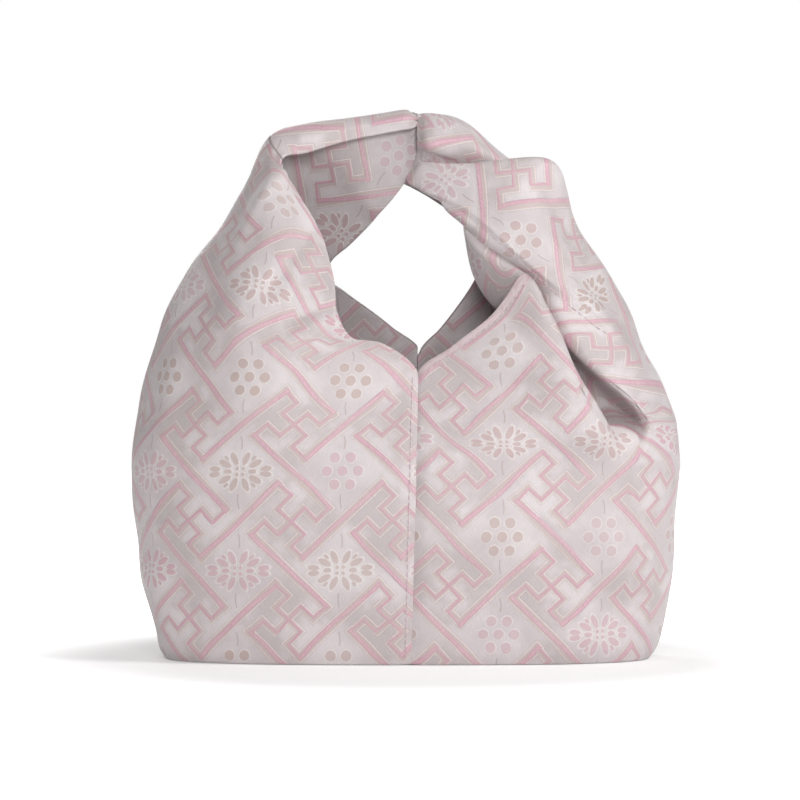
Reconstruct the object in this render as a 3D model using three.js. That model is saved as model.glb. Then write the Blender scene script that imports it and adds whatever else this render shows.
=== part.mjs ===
import * as THREE from 'three';

// Soft handbag of two brocade halves. Millimetres, +Z up, the front faces -Y.
// Each half is one doubled cloth wall laid over cross sections that start at the
// base, run round the body and follow the horn up to the joint of the handle.

// Driving sizes
const CLOTH = 2.0;
const SEAM_GAP = 0.2;
const BASE_THICK = 2.0;
const BOARD_THICK = 2.2;
const LAYER_GAP = 0.3;
const WALL_START = BASE_THICK + LAYER_GAP;
const BOARD_INSET = 4.0;
const V_HEIGHT = 142;
const BACK_V_RISE = 11.5;
const HANDLE_RISE = 132.2;
const JOINT_LOW_RISE = 96.8;
const JOINT_BOW_RISE = 111;
const BODY_POWER = 2.8;
const FOOT_STEPS = 20;

// Centre seam: place at its foot, lean over its height, reach above the back V
const SEAM_FOOT_X = 1.5;
const SEAM_LEAN = 3.5;
const SEAM_REACH = 4;

// Handle joint: place of its straight upper part, sweep of the bow, reach below its end
const JOINT_X = 4.6;
const JOINT_SWEEP = 6.2;
const JOINT_BOW_POWER = 1.5;
const JOINT_REACH = 8;

// Heights that follow from them
const BACK_V_HEIGHT = V_HEIGHT + BACK_V_RISE;
const JOINT_LOW = V_HEIGHT + JOINT_LOW_RISE;
const JOINT_BOW = V_HEIGHT + JOINT_BOW_RISE;

// Body: height as a share of the V, half width to the left, to the right, half depth
const BODY = [
  { at: WALL_START / V_HEIGHT, left: 120.5, right: 119.5, deep: 49 },
  { at: 0.056, left: 125.0, right: 123.8, deep: 52.5 },
  { at: 0.24, left: 130.3, right: 128.8, deep: 57.5 },
  { at: 0.465, left: 134.3, right: 133.3, deep: 60 },
  { at: 0.7, left: 136.6, right: 135.6, deep: 57.5 },
];

// The centre seam leans slightly to the right on its way up
function seamX(z) {
  return SEAM_FOOT_X + SEAM_LEAN * Math.min(z, V_HEIGHT) / V_HEIGHT;
}

// The handle joint is a slightly bowed line from its top to the lower edge
function jointX(z) {
  const fall = Math.max(0, JOINT_BOW - z) / (JOINT_BOW - JOINT_LOW);
  return JOINT_X - JOINT_SWEEP * Math.pow(fall, JOINT_BOW_POWER);
}

// Point of the body section; turn 0 is the front seam, 1 the outer side, 2 the back seam
function bodyPoint(level, side, turn) {
  const angle = (turn - 1) * Math.PI / 2;
  const across = Math.pow(Math.abs(Math.cos(angle)), 2 / BODY_POWER);
  const deep = Math.pow(Math.abs(Math.sin(angle)), 2 / BODY_POWER);
  const width = side < 0 ? level.left : level.right;
  const z = level.at * V_HEIGHT;
  const centre = seamX(z);
  const reach = side < 0 ? -width - centre : width - centre;
  return new THREE.Vector3(centre + reach * across, Math.sign(angle) * level.deep * deep, z);
}

// Stations above the body. Each point is x, y and its rise above the foot of the V.
// Left half, seen from the front: front edge, front, outer side, back, back edge
const LEFT_TURNS = [0, 0.4, 1, 1.6, 2];
const LEFT_STEPS = [5, 6, 6, 5];
const LEFT_CLIMB = [2, 3, 3, 3, 4, 3, 3, 3, 3, 3, 3, 3, 3, 3, 3];
const LEFT_STATIONS = [
  // level of the neck, at the foot of the V
  [[4.5, -43, 0], [-82, -53, -5], [-134.6, 0, -15], [-82, 53, -3], [6.5, 43, BACK_V_RISE]],
  // slack top edge of the front panel
  [[-13, -46, 14.5], [-83, -52, 8], [-131, 0, 0], [-81, 51, 12], [-9, 43, 24.5]],
  [[-28, -46.5, 17.5], [-84, -50, 18], [-127, 0, 13.5], [-80, 48, 24], [-22, 42, 34]],
  [[-35, -43.5, 28.5], [-82, -46, 32], [-120, 0, 30.5], [-78, 44, 37], [-32, 40, 41]],
  // left side of the opening
  [[-36.8, -38, 45], [-78, -39, 49], [-109, 0, 51], [-76, 36, 56], [-42, 35, 49]],
  [[-43, -30, 67], [-69, -31, 71], [-94.5, 0, 73.5], [-68, 27, 76], [-39.5, 28, 58.5]],
  [[-55, -22, 88.5], [-68, -21, 93], [-82.5, 0, 93], [-60, 19, 93], [-30, 21, 66.5]],
  // corner where the horn turns into the handle
  [[-62.5, -15, 106.5], [-66.3, -11, 113], [-66.8, -2, 118.4], [-50, 11, 104], [-20, 13, 76]],
  // short rolled lip in front, long flap behind
  [[-51.9, -11, 110.3], [-53, -11, 117.5], [-52.5, -3, 123.5], [-36, 4, 107], [-14.5, 8, 82]],
  [[-29.9, -10, 116.8], [-29, -10.5, 123.3], [-28, -3, 128.2], [-18, 2, 111], [-8.5, 6, 88.5]],
  [[4.3, -8, 123.8], [4.5, -8, 128.5], [4.5, -1, HANDLE_RISE], [5.5, 4, 115], [-1.7, 5.5, JOINT_LOW_RISE]],
];

// Right half: front edge, front panel, fold edge of the pleat, two rails in the valley
// behind it, edge of the strap, strap, outer side, hollow behind it, front of the roll,
// top of the roll, back, back edge
const RIGHT_TURNS = [0, 0.2, 0.42, 0.5, 0.54, 0.58, 0.76, 1, 1.12, 1.2, 1.28, 1.65, 2];
const RIGHT_STEPS = [3, 3, 3, 2, 2, 3, 3, 2, 2, 2, 4, 4];
const RIGHT_CLIMB = [2, 3, 3, 3, 2, 3, 3, 3, 3, 3, 3, 3, 3, 3, 3];
const RIGHT_STATIONS = [
  // just below the pleat, where its valley runs out
  [[5, -52.5, -28], [50, -56, -29], [93, -53.5, -27], [98, -49, -27], [112, -43, -28],
    [118, -42, -26.5], [127, -29, -30], [134.8, -3, -35], [135, 7, -34], [133.8, 13, -33],
    [131.5, 19, -32], [86, 55.5, -28], [6, 52, -26]],
  // level of the neck
  [[5, -43, 0], [48, -53, -6], [88, -55, -12], [85, -37, -15], [107, -34, -19], [113, -44, -18],
    [124, -33, -20], [133.8, -4, -25], [134, 6, -24], [132.5, 12, -23], [130, 18, -22],
    [85, 53, -5], [6.5, 43, BACK_V_RISE]],
  // the pleat deepens behind the front panel
  [[22, -47, 13], [50, -55, 9], [77.5, -56.5, 6.5], [68, -33, 5], [81, -34, 4.5], [87, -46, 6],
    [108, -37, 3], [122.8, -2, 1], [122.5, 7, 1.5], [121, 12.5, 2], [118.5, 18, 3],
    [79, 49, 15], [17, 42.5, 24]],
  [[40, -47.5, 27], [54, -52, 26], [67.4, -54, 27], [53, -32, 25], [65, -34, 25], [74, -43, 26],
    [95, -37, 25], [112, -2, 25], [111.5, 7, 25.5], [109.5, 12, 26], [107, 17, 26],
    [73, 43, 34], [26.5, 39.5, 37]],
  // corner of the front panel
  [[55, -45.5, 46], [57.5, -47.5, 44.5], [60, -47.5, 43], [53, -33, 40], [59, -34, 43.5],
    [67, -42, 46], [83, -36, 46], [100.7, -2, 46.3], [100, 8, 47], [98, 12.5, 47.5],
    [95.5, 16, 47.5], [66, 37, 50], [34.5, 35.5, 49]],
  // its fold runs on beside the strap, as the right side of the opening
  [[47, -14, 31], [43.3, -21, 34], [49, -37.5, 51], [48.5, -29, 52], [51, -31.5, 53.5],
    [55, -38.5, 56.5], [75, -36, 58], [93.4, -2, 59.5], [92.5, 8, 60], [90, 12.5, 60],
    [87.5, 15.5, 60], [62, 32, 61], [38, 32, 56.5]],
  [[37, -11, 54], [32.8, -19, 58], [35.8, -31.5, 61.5], [36, -24, 62.5], [38, -27, 63.3],
    [42, -35, 64.8], [63, -35, 71], [84.3, -3, 77.5], [83, 7, 77], [80, 10.5, 76],
    [77, 14, 75.5], [58, 27, 71], [38, 28, 64]],
  [[33, -9, 67], [29, -16, 70], [29.8, -26.5, 69.5], [30.5, -20, 70], [31.5, -22.5, 70.3],
    [34, -31, 70.5], [53, -33, 83], [77, -8, 92], [74, 2, 90], [71, 5, 89.5],
    [67, 10, 87.5], [51, 23, 80], [34.5, 24, 71]],
  // shoulder of the strap
  [[30.5, -6, 78.5], [27.7, -13, 79.7], [26.8, -20.5, 78], [27, -17.5, 77.7], [27, -20, 77.3],
    [26, -28, 76.6], [43, -30, 93], [67.5, -15, 104.2], [62, -5, 97.5], [59, -2, 99],
    [56, 3, 98], [42, 16, 89], [28, 19, 78.5]],
  // strap flap in front, gathered roll behind
  [[15.5, -2.5, 91], [14.8, -7, 91.4], [14, -11, 90.5], [13.8, -13, 90], [13.5, -15.5, 89.2],
    [13, -20, 88], [20, -23, 98], [29, -19, 104], [27.5, -9, 101], [27, -14, 115],
    [26, 0, 128.5], [22, 9, 112], [12, 12, 89.5]],
  [[2.2, -0.5, 100], [2.2, -2.5, 100], [1.8, -5, 99.5], [1.4, -7, 98.8], [0.8, -9, 97.8],
    [-0.5, -11.5, 96.2], [1.5, -14, 100.5], [3.8, -13, 104.5], [4.6, -8, 106.5],
    [4.8, -13.5, 117], [5, -1, HANDLE_RISE], [5.5, 4, 116], [-1.7, 5.5, JOINT_LOW_RISE]],
];

// One smooth curve through points, read at evenly numbered steps between them
function smoothRow(points, steps) {
  const curve = new THREE.CatmullRomCurve3(points, false, 'centripetal');
  const spans = points.length - 1;
  const row = [];
  for (let i = 0; i < spans; i += 1) {
    for (let j = 0; j < steps[i]; j += 1) {
      row.push(curve.getPoint((i + j / steps[i]) / spans));
    }
  }
  row.push(points[spans].clone());
  return row;
}

// Cross section of the body, read at the same steps as the rows above it
function bodyRow(level, side, turns, steps) {
  const row = [];
  for (let i = 0; i < steps.length; i += 1) {
    for (let j = 0; j < steps[i]; j += 1) {
      const turn = turns[i] + (turns[i + 1] - turns[i]) * j / steps[i];
      row.push(bodyPoint(level, side, turn));
    }
  }
  row.push(bodyPoint(level, side, 2));
  return row;
}

// The middle surface of one half, as rows of points from the base to the joint
function halfRows(side, turns, steps, stations, climb) {
  const sections = BODY.map((level) => bodyRow(level, side, turns, steps));
  for (const station of stations) {
    const points = station.map(([x, y, rise]) => new THREE.Vector3(x, y, V_HEIGHT + rise));
    sections.push(smoothRow(points, steps));
  }
  const columns = [];
  for (let i = 0; i < sections[0].length; i += 1) {
    columns.push(smoothRow(sections.map((s) => s[i]), climb));
  }
  return columns[0].map((_, k) => columns.map((c) => c[k]));
}

// Normals of the middle surface, pointing out of the bag
function rowNormals(rows, side) {
  const last = rows.length - 1;
  return rows.map((row, k) => row.map((_, i) => {
    const along = rows[Math.min(k + 1, last)][i].clone().sub(rows[Math.max(k - 1, 0)][i]);
    const ahead = row[Math.min(i + 1, row.length - 1)].clone();
    const across = ahead.sub(row[Math.max(i - 1, 0)]);
    return across.cross(along).normalize().multiplyScalar(side);
  }));
}

// Keeps a point on its own side of the centre seam and of the joint
function keepSide(p, side, foot) {
  if (p.z < BACK_V_HEIGHT + SEAM_REACH) {
    const line = seamX(p.z) + side * SEAM_GAP;
    p.x = side < 0 ? Math.min(p.x, line) : Math.max(p.x, line);
  }
  if (p.z > JOINT_LOW - JOINT_REACH) {
    const line = jointX(p.z) + side * SEAM_GAP;
    p.x = side < 0 ? Math.min(p.x, line) : Math.max(p.x, line);
  }
  p.z = foot ? WALL_START : Math.max(p.z, WALL_START);
  return p;
}

// Closed cloth wall: outer face, inner face and the four turned edges
function clothWall(rows, side) {
  const normals = rowNormals(rows, side);
  const tall = rows.length;
  const wide = rows[0].length;
  const places = [];
  const faces = [];
  for (const sign of [1, -1]) {
    rows.forEach((row, k) => row.forEach((p, i) => {
      const q = p.clone().addScaledVector(normals[k][i], sign * CLOTH / 2);
      keepSide(q, side, k === 0);
      if (k === tall - 1) {
        q.x = jointX(q.z) + side * SEAM_GAP;
      }
      places.push(q.x, q.y, q.z);
    }));
  }
  const out = (k, i) => k * wide + i;
  const inn = (k, i) => (tall + k) * wide + i;
  const quad = (a, b, c, d) => {
    if (side < 0) {
      faces.push(a, c, b, a, d, c);
    } else {
      faces.push(a, b, c, a, c, d);
    }
  };
  for (let k = 0; k < tall - 1; k += 1) {
    for (let i = 0; i < wide - 1; i += 1) {
      quad(out(k, i), out(k, i + 1), out(k + 1, i + 1), out(k + 1, i));
      quad(inn(k, i), inn(k + 1, i), inn(k + 1, i + 1), inn(k, i + 1));
    }
    quad(out(k, 0), out(k + 1, 0), inn(k + 1, 0), inn(k, 0));
    const e = wide - 1;
    quad(out(k, e), inn(k, e), inn(k + 1, e), out(k + 1, e));
  }
  for (let i = 0; i < wide - 1; i += 1) {
    quad(out(0, i), inn(0, i), inn(0, i + 1), out(0, i + 1));
    const t = tall - 1;
    quad(out(t, i), out(t, i + 1), inn(t, i + 1), inn(t, i));
  }
  const geometry = new THREE.BufferGeometry();
  geometry.setAttribute('position', new THREE.Float32BufferAttribute(places, 3));
  geometry.setIndex(faces);
  geometry.computeVertexNormals();
  return geometry;
}

// Flat plate with the outline of the foot of the body, moved in or out by a margin
function footPlate(margin, low, high) {
  const shape = new THREE.Shape();
  const foot = BODY[0];
  const outline = [];
  for (let i = 0; i < FOOT_STEPS; i += 1) {
    outline.push(bodyPoint(foot, -1, 2 * i / FOOT_STEPS));
  }
  for (let i = FOOT_STEPS; i > 0; i -= 1) {
    outline.push(bodyPoint(foot, 1, 2 * i / FOOT_STEPS));
  }
  outline.forEach((p, i) => {
    const x = p.x * (foot.left + margin) / foot.left;
    const y = p.y * (foot.deep + margin) / foot.deep;
    if (i === 0) {
      shape.moveTo(x, y);
    } else {
      shape.lineTo(x, y);
    }
  });
  shape.closePath();
  const plate = new THREE.ExtrudeGeometry(shape, { depth: high - low, bevelEnabled: false, steps: 1 });
  plate.translate(0, 0, low);
  return plate;
}

function piece(name, geometry, color, roughness) {
  const material = new THREE.MeshStandardMaterial({ color, roughness, metalness: 0 });
  material.name = name;
  const mesh = new THREE.Mesh(geometry, material);
  mesh.name = name;
  return mesh;
}

const bag = new THREE.Group();
bag.name = 'handbag';

const leftRows = halfRows(-1, LEFT_TURNS, LEFT_STEPS, LEFT_STATIONS, LEFT_CLIMB);
bag.add(piece('left_panel', clothWall(leftRows, -1), 0xd8c4cb, 0.55));

const rightRows = halfRows(1, RIGHT_TURNS, RIGHT_STEPS, RIGHT_STATIONS, RIGHT_CLIMB);
bag.add(piece('right_panel', clothWall(rightRows, 1), 0xdcc8cf, 0.55));

bag.add(piece('base_panel', footPlate(CLOTH / 2, 0, BASE_THICK), 0xd2bec5, 0.6));

const board = footPlate(-BOARD_INSET, WALL_START, WALL_START + BOARD_THICK);
bag.add(piece('base_board', board, 0xb9a58c, 0.8));

export default bag;
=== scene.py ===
import math

import bpy
import numpy as np
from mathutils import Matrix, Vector


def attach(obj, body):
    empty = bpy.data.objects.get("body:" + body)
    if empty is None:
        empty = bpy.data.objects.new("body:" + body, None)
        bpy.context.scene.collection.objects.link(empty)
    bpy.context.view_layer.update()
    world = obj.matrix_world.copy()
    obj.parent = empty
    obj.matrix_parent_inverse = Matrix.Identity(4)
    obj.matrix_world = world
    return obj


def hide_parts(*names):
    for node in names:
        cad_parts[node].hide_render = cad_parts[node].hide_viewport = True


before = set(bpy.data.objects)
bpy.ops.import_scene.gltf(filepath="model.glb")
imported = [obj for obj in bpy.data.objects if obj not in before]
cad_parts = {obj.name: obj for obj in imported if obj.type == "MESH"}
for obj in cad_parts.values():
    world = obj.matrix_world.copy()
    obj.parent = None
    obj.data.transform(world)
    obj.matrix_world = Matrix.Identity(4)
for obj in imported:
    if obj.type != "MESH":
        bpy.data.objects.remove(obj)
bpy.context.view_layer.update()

# Sizes of the bag in millimetres, as in the solids; meshes are made in metres
MM = 0.001
CLOTH = 2.0
SEAM_GAP = -0.15
WALL_START = 2.3
FOOT = 0.35
STITCH_PITCH = 3.7
V_HEIGHT = 142.0
BACK_V_RISE = 11.5
HANDLE_RISE = 132.2
JOINT_LOW_RISE = 96.8
JOINT_BOW_RISE = 111.0
BODY_POWER = 2.8
# How far past its seam the cloth is kept on its own side
SEAM_REACH = 4.0
JOINT_REACH = 8.0
# Rows and columns that follow when an edge is drawn to its seam
SEAM_EASE = 8
JOINT_EASE = 6
# Dip of the cloth where the two halves meet at the joint
NOTCH_DEPTH = 2.6
NOTCH_WIDTH = 3.2
# Folds fade out this near to the foot and to the middle of the bag
CALM_FOOT = 14.0
CALM_SEAM = 7.0
CALM_CENTRE = 3.0

# Body: height as a share of the V, half width to the left, to the right, half depth
BODY = [
    (WALL_START / V_HEIGHT, 120.5, 119.5, 49.0),
    (0.056, 125.0, 123.8, 52.5),
    (0.24, 130.3, 128.8, 57.5),
    (0.465, 134.3, 133.3, 60.0),
    (0.7, 136.6, 135.6, 57.5),
]

# Stations above the body. Each point is x, y and its rise above the foot of the V.
# Left half: front edge, front, outer side, back, back edge
LEFT_TURNS = [0, 0.4, 1, 1.6, 2]
LEFT_FINE = [36, 44, 40, 34]
LEFT_STATIONS = [
    # level of the neck, at the foot of the V
    [[4.5, -43, 0], [-82, -53, -5], [-134.6, 0, -15], [-82, 53, -3], [6.5, 43, BACK_V_RISE]],
    # slack top edge of the front panel
    [[-13, -46, 14.5], [-83, -52, 8], [-131, 0, 0], [-81, 51, 12], [-9, 43, 24.5]],
    [[-28, -46.5, 17.5], [-84, -50, 18], [-127, 0, 13.5], [-80, 48, 24], [-22, 42, 34]],
    [[-35, -43.5, 28.5], [-82, -46, 32], [-120, 0, 30.5], [-78, 44, 37], [-32, 40, 41]],
    # left side of the opening
    [[-36.8, -38, 45], [-78, -39, 49], [-109, 0, 51], [-76, 36, 56], [-42, 35, 49]],
    [[-43, -30, 67], [-69, -31, 71], [-94.5, 0, 73.5], [-68, 27, 76], [-39.5, 28, 58.5]],
    [[-55, -22, 88.5], [-68, -21, 93], [-82.5, 0, 93], [-60, 19, 93], [-30, 21, 66.5]],
    # corner where the horn turns into the handle
    [[-62.5, -15, 106.5], [-66.3, -11, 113], [-66.8, -2, 118.4], [-50, 11, 104], [-20, 13, 76]],
    # short rolled lip in front, long flap behind
    [[-51.9, -11, 110.3], [-53, -11, 117.5], [-52.5, -3, 123.5], [-36, 4, 107], [-14.5, 8, 82]],
    [[-29.9, -10, 116.8], [-29, -10.5, 123.3], [-28, -3, 128.2], [-18, 2, 111], [-8.5, 6, 88.5]],
    [[4.3, -8, 123.8], [4.5, -8, 128.5], [4.5, -1, HANDLE_RISE], [5.5, 4, 115], [-1.7, 5.5, JOINT_LOW_RISE]],
]

# Right half: front edge, front panel, fold edge of the pleat, two rails in the valley
# behind it, edge of the strap, strap, outer side, hollow behind it, front of the roll,
# top of the roll, back, back edge
RIGHT_TURNS = [0, 0.2, 0.42, 0.5, 0.54, 0.58, 0.76, 1, 1.12, 1.2, 1.28, 1.65, 2]
RIGHT_FINE = [18, 20, 14, 12, 12, 18, 20, 12, 10, 10, 22, 18]
VALLEY = 3
STRAP_EDGE = 5
STRAP = 6
OUTER = 7
ROLL = 10
RIGHT_STATIONS = [
    # just below the pleat, where its valley runs out
    [[5, -52.5, -28], [50, -56, -29], [93, -53.5, -27], [99, -42, -27], [112, -35, -28],
     [118, -42, -26.5], [127, -29, -30], [134.8, -3, -35], [135, 7, -34], [133.8, 13, -33],
     [131.5, 19, -32], [86, 55.5, -28], [6, 52, -26]],
    # level of the neck
    [[5, -43, 0], [48, -53, -6], [88, -55, -12], [89, -17, -15], [107, -16, -19], [113, -44, -18],
     [124, -33, -20], [133.8, -4, -25], [134, 6, -24], [132.5, 12, -23], [130, 18, -22],
     [85, 53, -5], [6.5, 43, BACK_V_RISE]],
    # the pleat deepens behind the front panel
    [[22, -47, 13], [50, -55, 9], [77.5, -56.5, 6.5], [72, -16, 5], [84, -16, 4.5], [87, -46, 6],
     [108, -37, 3], [122.8, -2, 1], [122.5, 7, 1.5], [121, 12.5, 2], [118.5, 18, 3],
     [79, 49, 15], [17, 42.5, 24]],
    [[40, -47.5, 27], [54, -52, 26], [67.4, -54, 27], [56, -20, 25], [67, -24, 25], [74, -43, 26],
     [95, -37, 25], [112, -2, 25], [111.5, 7, 25.5], [109.5, 12, 26], [107, 17, 26],
     [73, 43, 34], [26.5, 39.5, 37]],
    # corner of the front panel
    [[55, -45.5, 46], [57.5, -47.5, 44.5], [60, -47.5, 43], [53, -33, 40], [59, -34, 43.5],
     [67, -42, 46], [83, -36, 46], [100.7, -2, 46.3], [100, 8, 47], [98, 12.5, 47.5],
     [95.5, 16, 47.5], [66, 37, 50], [34.5, 35.5, 49]],
    # its fold runs on beside the strap, as the right side of the opening
    [[47, -14, 31], [43.3, -21, 34], [49, -37.5, 51], [48.5, -29, 52], [51, -31.5, 53.5],
     [55, -38.5, 56.5], [75, -36, 58], [93.4, -2, 59.5], [92.5, 8, 60], [90, 12.5, 60],
     [87.5, 15.5, 60], [62, 32, 61], [38, 32, 56.5]],
    [[37, -11, 54], [32.8, -19, 58], [35.8, -31.5, 61.5], [36, -24, 62.5], [38, -27, 63.3],
     [42, -35, 64.8], [63, -35, 71], [84.3, -3, 77.5], [83, 7, 77], [80, 10.5, 76],
     [77, 14, 75.5], [58, 27, 71], [38, 28, 64]],
    [[33, -9, 67], [29, -16, 70], [29.8, -26.5, 69.5], [30.5, -20, 70], [31.5, -22.5, 70.3],
     [34, -31, 70.5], [53, -33, 83], [77, -8, 92], [74, 2, 90], [71, 5, 89.5],
     [67, 10, 87.5], [51, 23, 80], [34.5, 24, 71]],
    # shoulder of the strap
    [[30.5, -6, 78.5], [27.7, -13, 79.7], [26.8, -20.5, 78], [27, -17.5, 77.7], [27, -20, 77.3],
     [26, -28, 76.6], [43, -30, 93], [69, -15, 105], [62, -5, 97.5], [59, -2, 99],
     [56, 3, 98], [42, 16, 89], [28, 19, 78.5]],
    # strap flap in front, gathered roll behind
    [[15.5, -2.5, 91], [14.8, -7, 91.4], [14, -11, 90.5], [13.8, -13, 90], [13.5, -15.5, 89.2],
     [13, -20, 88], [20, -23, 98], [29, -19, 104], [27.5, -5, 101], [27, -14, 115],
     [26, 0, 128.5], [22, 9, 112], [12, 12, 89.5]],
    [[2.2, -0.5, 100], [2.2, -2.5, 100], [1.8, -5, 99.5], [1.4, -7, 98.8], [0.8, -9, 97.8],
     [-0.5, -11.5, 96.2], [1.5, -14, 100.5], [3.8, -13, 104.5], [4.6, -5, 106],
     [4.8, -13.5, 117], [5, -1, HANDLE_RISE], [5.5, 4, 116], [-1.7, 5.5, JOINT_LOW_RISE]],
]
LEFT_CLIMB = [8, 16, 18, 18, 22, 14, 12] + [14] * 8
RIGHT_CLIMB = [8, 16, 18, 18, 10, 16] + [16] * 9
FIRST_STATION = len(BODY)


def seam_x(z):
    return 1.5 + 3.5 * np.minimum(z, V_HEIGHT) / V_HEIGHT


def joint_x(z):
    fall = np.maximum(0, V_HEIGHT + JOINT_BOW_RISE - z) / (JOINT_BOW_RISE - JOINT_LOW_RISE)
    return 4.6 - 6.2 * fall ** 1.5


def smoothstep(low, high, x):
    t = np.clip((x - low) / (high - low), 0, 1)
    return t * t * (3 - 2 * t)


def spline(points, steps):
    """Centripetal Catmull-Rom through points[k], read at steps[k] places in each span."""
    p = np.concatenate([[2 * points[0] - points[1]], points, [2 * points[-1] - points[-2]]])
    rows = []
    for k, count in enumerate(steps):
        p0, p1, p2, p3 = p[k], p[k + 1], p[k + 2], p[k + 3]
        gaps = [np.linalg.norm(b - a, axis=-1, keepdims=True) ** 0.5
                for a, b in ((p0, p1), (p1, p2), (p2, p3))]
        d1 = np.maximum(gaps[1], 1e-4)
        d0 = np.where(gaps[0] < 1e-4, d1, gaps[0])
        d2 = np.where(gaps[2] < 1e-4, d1, gaps[2])
        m1 = ((p1 - p0) / d0 - (p2 - p0) / (d0 + d1) + (p2 - p1) / d1) * d1
        m2 = ((p2 - p1) / d1 - (p3 - p1) / (d1 + d2) + (p3 - p2) / d2) * d1
        for j in range(count):
            t = j / count
            rows.append(p1 + m1 * t + (-3 * p1 + 3 * p2 - 2 * m1 - m2) * t ** 2
                        + (2 * p1 - 2 * p2 + m1 + m2) * t ** 3)
    rows.append(p[-2])
    return np.array(rows)


def body_row(level, side, turns, steps):
    share, left, right, deep = level
    z = share * V_HEIGHT
    turn = [turns[i] + (turns[i + 1] - turns[i]) * j / n for i, n in enumerate(steps) for j in range(n)]
    angle = (np.array(turn + [2.0]) - 1) * math.pi / 2
    across = np.abs(np.cos(angle)) ** (2 / BODY_POWER)
    depth = np.abs(np.sin(angle)) ** (2 / BODY_POWER)
    reach = (-left if side < 0 else right) - seam_x(z)
    return np.stack([seam_x(z) + reach * across, np.sign(angle) * deep * depth, np.full(len(angle), z)], -1)


def half_rows(side, turns, steps, stations, climb):
    """Middle surface of one half, as rows of points from the base to the joint."""
    sections = [body_row(level, side, turns, steps) for level in BODY]
    for station in stations:
        sections.append(spline(np.array(station, dtype=float) + (0, 0, V_HEIGHT), steps))
    return spline(np.array(sections), climb)


def surface_normals(rows, side):
    across = np.gradient(rows, axis=1)
    along = np.gradient(rows, axis=0)
    normal = np.cross(across, along) * side
    return normal / np.maximum(np.linalg.norm(normal, axis=-1, keepdims=True), 1e-9)


def arc(rows, axis):
    step = np.linalg.norm(np.diff(rows, axis=axis), axis=-1)
    zero = np.zeros_like(np.take(step, [0], axis=axis))
    return np.concatenate([zero, np.cumsum(step, axis=axis)], axis=axis)


def station_row(climb, k):
    """Number of the fine row at section k."""
    return sum(climb[:k])


# Folds and slack of the cloth, as seen from the front: two ends (x, z), half width, depth
LEFT_CREASES = [
    ((-34, 176), (-58, 168), 5.0, -1.6),
    ((-36, 170), (-70, 150), 7.0, 1.2),
    ((-46, 214), (-72, 176), 6.0, -1.3),
    ((-60, 246), (-84, 206), 5.0, 1.4),
    ((-66, 252), (-98, 196), 6.0, -1.2),
    ((-22, 157), (-50, 146), 7.0, -1.0),
    ((-112, 150), (-126, 96), 8.0, 1.2),
    ((-120, 60), (-104, 22), 9.0, -1.2),
]
RIGHT_CREASES = [
    ((84, 138), (104, 108), 6.0, -2.0),
    ((96, 128), (116, 100), 5.0, 1.6),
    ((110, 128), (126, 104), 5.0, -1.4),
    ((48, 168), (66, 150), 7.0, -1.0),
    ((70, 178), (88, 150), 4.0, 1.0),
    ((90, 176), (118, 138), 5.0, 1.3),
    ((66, 232), (92, 196), 5.0, -1.2),
    ((112, 60), (104, 20), 9.0, -1.2),
    ((7, 257), (25, 251), 3.6, 1.4),
    ((8, 253.5), (25, 247.5), 3.0, -1.5),
    ((10, 248.4), (22, 247.4), 4.0, -1.6),
    ((8, 265), (26, 261), 5.0, -1.0),
    ((124, 150), (130, 100), 8.0, 1.6),
]


def crease_height(points, normals, creases):
    """Rise of the front face along each crease."""
    front = smoothstep(0.0, 0.5, -normals[..., 1])
    x, z = points[..., 0], points[..., 2]
    rise = np.zeros_like(x)
    for (x0, z0), (x1, z1), width, depth in creases:
        length2 = (x1 - x0) ** 2 + (z1 - z0) ** 2
        t = ((x - x0) * (x1 - x0) + (z - z0) * (z1 - z0)) / length2
        inside = np.clip(t, 0, 1)
        gap2 = (x - x0 - inside * (x1 - x0)) ** 2 + (z - z0 - inside * (z1 - z0)) ** 2
        fade = smoothstep(-0.25, 0.2, t) * (1 - smoothstep(0.7, 1.25, t))
        rise += depth * fade * np.exp(-gap2 / (2 * (width / 2) ** 2))
    return rise * front


def slack(points, seed):
    """Low, wide unevenness of soft cloth, from a few fixed waves."""
    rng = np.random.default_rng(seed)
    total = np.zeros(points.shape[:-1])
    for _ in range(14):
        direction = rng.normal(size=3)
        direction /= np.linalg.norm(direction)
        length = rng.uniform(22, 75)
        total += 0.012 * length * np.sin(points @ direction * 2 * math.pi / length + rng.uniform(0, 6.28))
    return total * 0.6


# Seam along the strap, seen from the front as (x, z)
STRAP_SEAM = [(4, 234.5), (11, 230.5), (26, 222.7), (32, 218.5), (40, 210.9), (48, 203.5), (55, 197.3),
              (68, 185.6), (80, 175), (90, 167), (102, 158.6), (110, 152)]


def seam_distance(points, line):
    """Signed distance in the front view from a line of points, and the share along it."""
    x, z = points[..., 0], points[..., 2]
    best = np.full(x.shape, 1e9)
    signed = np.zeros(x.shape)
    share = np.zeros(x.shape)
    pieces = len(line) - 1
    for k in range(pieces):
        (x0, z0), (x1, z1) = line[k], line[k + 1]
        length = math.hypot(x1 - x0, z1 - z0)
        t = np.clip(((x - x0) * (x1 - x0) + (z - z0) * (z1 - z0)) / length ** 2, 0, 1)
        gap = np.hypot(x - x0 - t * (x1 - x0), z - z0 - t * (z1 - z0))
        side = np.sign((x1 - x0) * (z - z0) - (z1 - z0) * (x - x0))
        near = gap < best
        best = np.where(near, gap, best)
        signed = np.where(near, gap * side, signed)
        share = np.where(near, (k + t) / pieces, share)
    return signed, share


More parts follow.
